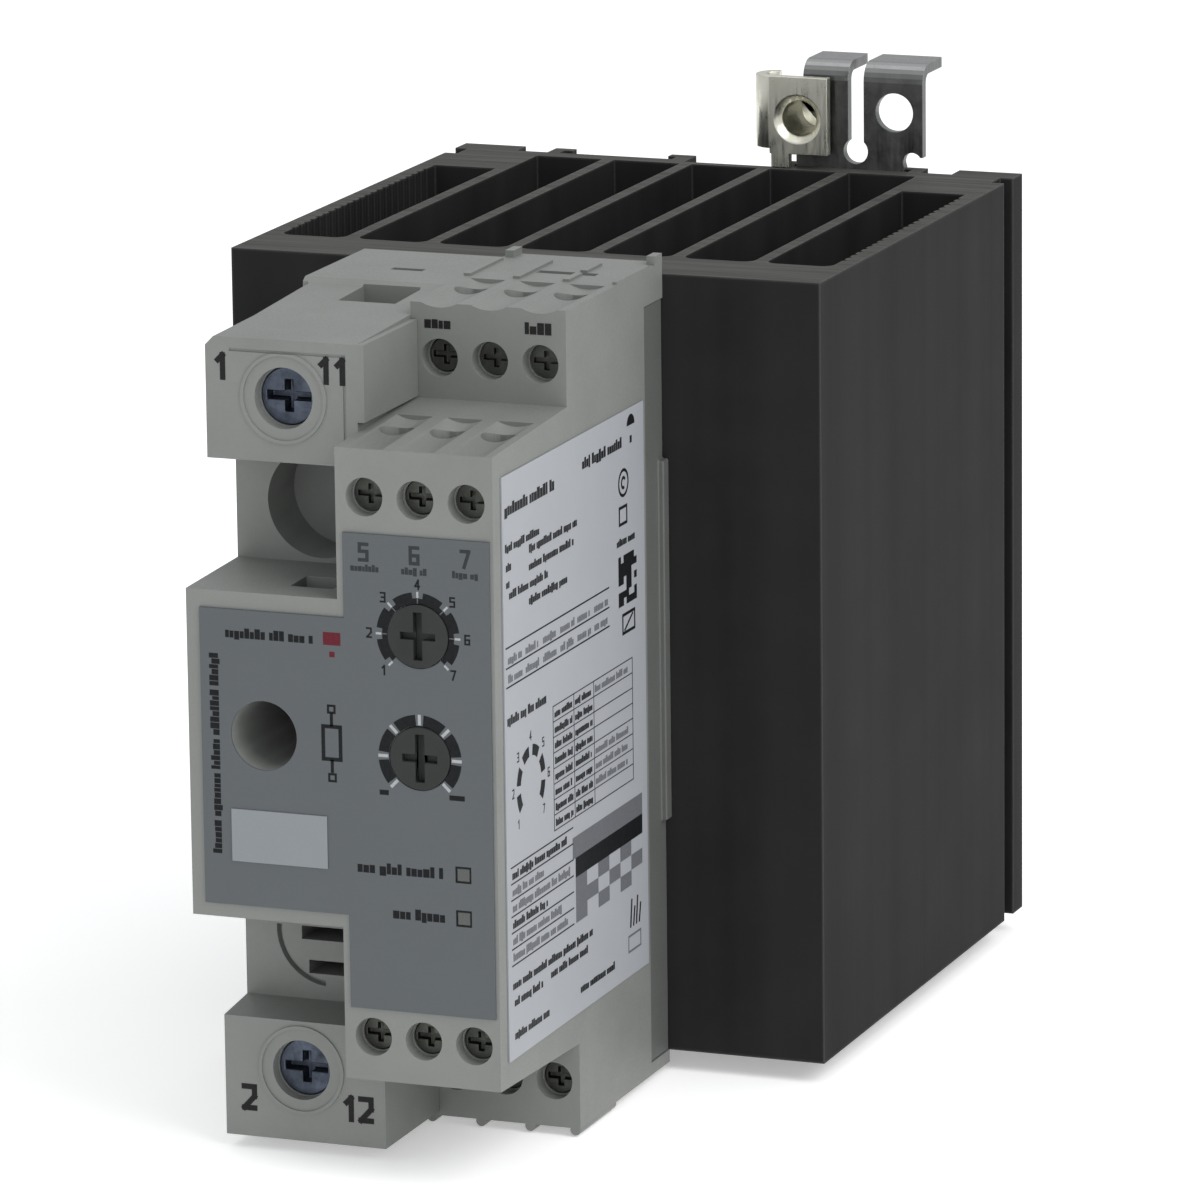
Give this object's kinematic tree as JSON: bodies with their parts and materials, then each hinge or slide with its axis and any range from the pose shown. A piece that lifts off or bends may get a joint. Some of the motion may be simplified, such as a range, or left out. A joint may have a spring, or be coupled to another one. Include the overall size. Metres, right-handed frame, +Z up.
{
  "type": "solid state relay",
  "caption": "Solid state relay with screw terminals, mode and level knobs and a finned heatsink that clips onto a 35 mm top-hat rail.",
  "frame": {"origin": "centre of the 35 mm rail, on the plane of its front flange faces, midway across the heatsink", "axes": "+X to the right seen from the front, +Y backwards into the rail, +Z up along the heatsink's fins"},
  "size_m": [0.07, 0.1268, 0.1034],
  "materials": {
    "black_anodised": "black anodised extrusion, satin",
    "housing_grey": "light grey moulded polyamide, fine texture",
    "frame_grey": "darker grey moulded polyamide",
    "foil_grey": "printed polyester foil, satin",
    "label_silver": null,
    "zinc_sheet": "bright zinc-plated spring steel sheet",
    "screw_steel": "blue-passivated steel",
    "clamp_steel": "zinc-plated steel",
    "busbar_copper": "tinned copper bar",
    "contact_brass": "tinned brass bar",
    "base_copper": "nickel-free copper base plate",
    "pad_grey": "silicone heat-conducting pad",
    "ceramic_white": "alumina substrate",
    "silicon": "silicon chip",
    "board_green": "glass-epoxy board with green solder resist",
    "varistor_blue": "blue epoxy-dipped disc",
    "chip_black": "black moulded package",
    "capacitor_can": "sleeved aluminium can",
    "lamp_clear": "clear light guide, unlit",
    "knob_grey": "dark grey moulded rotor",
    "pot_blue": "blue moulded case",
    "spring_steel": "drawn spring wire"
  },
  "bodies": {
    "relay": {"heatsink": "black_anodised", "thermal_pad": "pad_grey", "module_base": "base_copper", "ceramic_substrates": "ceramic_white", "thyristor_chips": "silicon", "module_screw": "clamp_steel", "base_frame": "frame_grey", "control_housing": "housing_grey", "power_housing": "housing_grey", "front_foil": "foil_grey", "side_label": "label_silver", "line_busbar": "busbar_copper", "load_busbar": "busbar_copper", "upper_contacts": "contact_brass", "lower_contacts": "contact_brass", "front_board": "board_green", "rear_board": "board_green", "link_board": "board_green", "varistor": "varistor_blue", "board_chips": "chip_black", "capacitor": "capacitor_can", "status_lamps": "lamp_clear", "mode_switch": "chip_black", "level_potentiometer": "pot_blue", "clip_spring": "spring_steel", "spring_pin": "spring_steel", "lower_rail_hook": "zinc_sheet", "hook_screw": "clamp_steel"},
    "line_screw": {"line_screw": "screw_steel"},
    "line_clamp": {"line_clamp": "clamp_steel"},
    "load_screw": {"load_screw": "screw_steel"},
    "load_clamp": {"load_clamp": "clamp_steel"},
    "upper_front_screw_1": {"upper_front_screw_1": "screw_steel"},
    "upper_front_clamp_1": {"upper_front_clamp_1": "clamp_steel"},
    "upper_front_screw_2": {"upper_front_screw_2": "screw_steel"},
    "upper_front_clamp_2": {"upper_front_clamp_2": "clamp_steel"},
    "upper_front_screw_3": {"upper_front_screw_3": "screw_steel"},
    "upper_front_clamp_3": {"upper_front_clamp_3": "clamp_steel"},
    "upper_rear_screw_1": {"upper_rear_screw_1": "screw_steel"},
    "upper_rear_clamp_1": {"upper_rear_clamp_1": "clamp_steel"},
    "upper_rear_screw_2": {"upper_rear_screw_2": "screw_steel"},
    "upper_rear_clamp_2": {"upper_rear_clamp_2": "clamp_steel"},
    "upper_rear_screw_3": {"upper_rear_screw_3": "screw_steel"},
    "upper_rear_clamp_3": {"upper_rear_clamp_3": "clamp_steel"},
    "lower_front_screw_1": {"lower_front_screw_1": "screw_steel"},
    "lower_front_clamp_1": {"lower_front_clamp_1": "clamp_steel"},
    "lower_front_screw_2": {"lower_front_screw_2": "screw_steel"},
    "lower_front_clamp_2": {"lower_front_clamp_2": "clamp_steel"},
    "lower_front_screw_3": {"lower_front_screw_3": "screw_steel"},
    "lower_front_clamp_3": {"lower_front_clamp_3": "clamp_steel"},
    "lower_rear_screw_1": {"lower_rear_screw_1": "screw_steel"},
    "lower_rear_clamp_1": {"lower_rear_clamp_1": "clamp_steel"},
    "lower_rear_screw_2": {"lower_rear_screw_2": "screw_steel"},
    "lower_rear_clamp_2": {"lower_rear_clamp_2": "clamp_steel"},
    "lower_rear_screw_3": {"lower_rear_screw_3": "screw_steel"},
    "lower_rear_clamp_3": {"lower_rear_clamp_3": "clamp_steel"},
    "mode_knob": {"mode_knob": "knob_grey"},
    "level_knob": {"level_knob": "knob_grey"},
    "clip": {"din_clip": "zinc_sheet", "earth_nut": "zinc_sheet"}
  },
  "joints": [
    {"name": "line_screw_turn", "type": "hinge", "parent": "relay", "child": "line_screw", "pos_m": [-0.0098, -0.1142, 0.03745], "axis": [0, 1, 0], "range_deg": [0, 2885]},
    {"name": "line_clamp_close", "type": "slide", "parent": "relay", "child": "line_clamp", "axis": [0, -1, 0], "range_m": [0, 0.0064]},
    {"name": "load_screw_turn", "type": "hinge", "parent": "relay", "child": "load_screw", "pos_m": [-0.0098, -0.113, -0.03725], "axis": [0, 1, 0], "range_deg": [0, 2885]},
    {"name": "load_clamp_close", "type": "slide", "parent": "relay", "child": "load_clamp", "axis": [0, -1, 0], "range_m": [0, 0.0064]},
    {"name": "upper_front_screw_1_turn", "type": "hinge", "parent": "relay", "child": "upper_front_screw_1", "pos_m": [0.002, -0.1202, 0.02885], "axis": [0, 1, 0], "range_deg": [0, 1805]},
    {"name": "upper_front_clamp_1_close", "type": "slide", "parent": "relay", "child": "upper_front_clamp_1", "axis": [0, -1, 0], "range_m": [0, 0.0025]},
    {"name": "upper_front_screw_2_turn", "type": "hinge", "parent": "relay", "child": "upper_front_screw_2", "pos_m": [0.0078, -0.1202, 0.02885], "axis": [0, 1, 0], "range_deg": [0, 1805]},
    {"name": "upper_front_clamp_2_close", "type": "slide", "parent": "relay", "child": "upper_front_clamp_2", "axis": [0, -1, 0], "range_m": [0, 0.0025]},
    {"name": "upper_front_screw_3_turn", "type": "hinge", "parent": "relay", "child": "upper_front_screw_3", "pos_m": [0.0136, -0.1202, 0.02885], "axis": [0, 1, 0], "range_deg": [0, 1805]},
    {"name": "upper_front_clamp_3_close", "type": "slide", "parent": "relay", "child": "upper_front_clamp_3", "axis": [0, -1, 0], "range_m": [0, 0.0025]},
    {"name": "upper_rear_screw_1_turn", "type": "hinge", "parent": "relay", "child": "upper_rear_screw_1", "pos_m": [0.002, -0.0984, 0.03965], "axis": [0, 1, 0], "range_deg": [0, 1805]},
    {"name": "upper_rear_clamp_1_close", "type": "slide", "parent": "relay", "child": "upper_rear_clamp_1", "axis": [0, -1, 0], "range_m": [0, 0.0025]},
    {"name": "upper_rear_screw_2_turn", "type": "hinge", "parent": "relay", "child": "upper_rear_screw_2", "pos_m": [0.0078, -0.0984, 0.03965], "axis": [0, 1, 0], "range_deg": [0, 1805]},
    {"name": "upper_rear_clamp_2_close", "type": "slide", "parent": "relay", "child": "upper_rear_clamp_2", "axis": [0, -1, 0], "range_m": [0, 0.0025]},
    {"name": "upper_rear_screw_3_turn", "type": "hinge", "parent": "relay", "child": "upper_rear_screw_3", "pos_m": [0.0136, -0.0984, 0.03965], "axis": [0, 1, 0], "range_deg": [0, 1805]},
    {"name": "upper_rear_clamp_3_close", "type": "slide", "parent": "relay", "child": "upper_rear_clamp_3", "axis": [0, -1, 0], "range_m": [0, 0.0025]},
    {"name": "lower_front_screw_1_turn", "type": "hinge", "parent": "relay", "child": "lower_front_screw_1", "pos_m": [0.002, -0.1202, -0.0303], "axis": [0, 1, 0], "range_deg": [0, 1805]},
    {"name": "lower_front_clamp_1_close", "type": "slide", "parent": "relay", "child": "lower_front_clamp_1", "axis": [0, -1, 0], "range_m": [0, 0.0025]},
    {"name": "lower_front_screw_2_turn", "type": "hinge", "parent": "relay", "child": "lower_front_screw_2", "pos_m": [0.0078, -0.1202, -0.0303], "axis": [0, 1, 0], "range_deg": [0, 1805]},
    {"name": "lower_front_clamp_2_close", "type": "slide", "parent": "relay", "child": "lower_front_clamp_2", "axis": [0, -1, 0], "range_m": [0, 0.0025]},
    {"name": "lower_front_screw_3_turn", "type": "hinge", "parent": "relay", "child": "lower_front_screw_3", "pos_m": [0.0136, -0.1202, -0.0303], "axis": [0, 1, 0], "range_deg": [0, 1805]},
    {"name": "lower_front_clamp_3_close", "type": "slide", "parent": "relay", "child": "lower_front_clamp_3", "axis": [0, -1, 0], "range_m": [0, 0.0025]},
    {"name": "lower_rear_screw_1_turn", "type": "hinge", "parent": "relay", "child": "lower_rear_screw_1", "pos_m": [0.002, -0.097, -0.04055], "axis": [0, 1, 0], "range_deg": [0, 1805]},
    {"name": "lower_rear_clamp_1_close", "type": "slide", "parent": "relay", "child": "lower_rear_clamp_1", "axis": [0, -1, 0], "range_m": [0, 0.0025]},
    {"name": "lower_rear_screw_2_turn", "type": "hinge", "parent": "relay", "child": "lower_rear_screw_2", "pos_m": [0.0078, -0.097, -0.04055], "axis": [0, 1, 0], "range_deg": [0, 1805]},
    {"name": "lower_rear_clamp_2_close", "type": "slide", "parent": "relay", "child": "lower_rear_clamp_2", "axis": [0, -1, 0], "range_m": [0, 0.0025]},
    {"name": "lower_rear_screw_3_turn", "type": "hinge", "parent": "relay", "child": "lower_rear_screw_3", "pos_m": [0.0136, -0.097, -0.04055], "axis": [0, 1, 0], "range_deg": [0, 1805]},
    {"name": "lower_rear_clamp_3_close", "type": "slide", "parent": "relay", "child": "lower_rear_clamp_3", "axis": [0, -1, 0], "range_m": [0, 0.0025]},
    {"name": "mode_knob_turn", "type": "hinge", "parent": "relay", "child": "mode_knob", "pos_m": [0.008, -0.1222, 0.01425], "axis": [0, 1, 0], "range_deg": [-135, 135]},
    {"name": "level_knob_turn", "type": "hinge", "parent": "relay", "child": "level_knob", "pos_m": [0.008, -0.1222, 0.00095], "axis": [0, 1, 0], "range_deg": [-135, 135]},
    {"name": "clip_pull", "type": "slide", "parent": "relay", "child": "clip", "axis": [0, 0, 1], "range_m": [0, 0.0035], "stiffness_N_per_m": 2000, "springref_m": -0.003, "deforming": ["clip_spring"]}
  ],
  "couplings": [
    {"joint": "line_screw_turn", "follows": "line_clamp_close", "rad_per_m": 7854},
    {"joint": "load_screw_turn", "follows": "load_clamp_close", "rad_per_m": 7854},
    {"joint": "upper_front_screw_1_turn", "follows": "upper_front_clamp_1_close", "rad_per_m": 12566},
    {"joint": "upper_front_screw_2_turn", "follows": "upper_front_clamp_2_close", "rad_per_m": 12566},
    {"joint": "upper_front_screw_3_turn", "follows": "upper_front_clamp_3_close", "rad_per_m": 12566},
    {"joint": "upper_rear_screw_1_turn", "follows": "upper_rear_clamp_1_close", "rad_per_m": 12566},
    {"joint": "upper_rear_screw_2_turn", "follows": "upper_rear_clamp_2_close", "rad_per_m": 12566},
    {"joint": "upper_rear_screw_3_turn", "follows": "upper_rear_clamp_3_close", "rad_per_m": 12566},
    {"joint": "lower_front_screw_1_turn", "follows": "lower_front_clamp_1_close", "rad_per_m": 12566},
    {"joint": "lower_front_screw_2_turn", "follows": "lower_front_clamp_2_close", "rad_per_m": 12566},
    {"joint": "lower_front_screw_3_turn", "follows": "lower_front_clamp_3_close", "rad_per_m": 12566},
    {"joint": "lower_rear_screw_1_turn", "follows": "lower_rear_clamp_1_close", "rad_per_m": 12566},
    {"joint": "lower_rear_screw_2_turn", "follows": "lower_rear_clamp_2_close", "rad_per_m": 12566},
    {"joint": "lower_rear_screw_3_turn", "follows": "lower_rear_clamp_3_close", "rad_per_m": 12566}
  ]
}
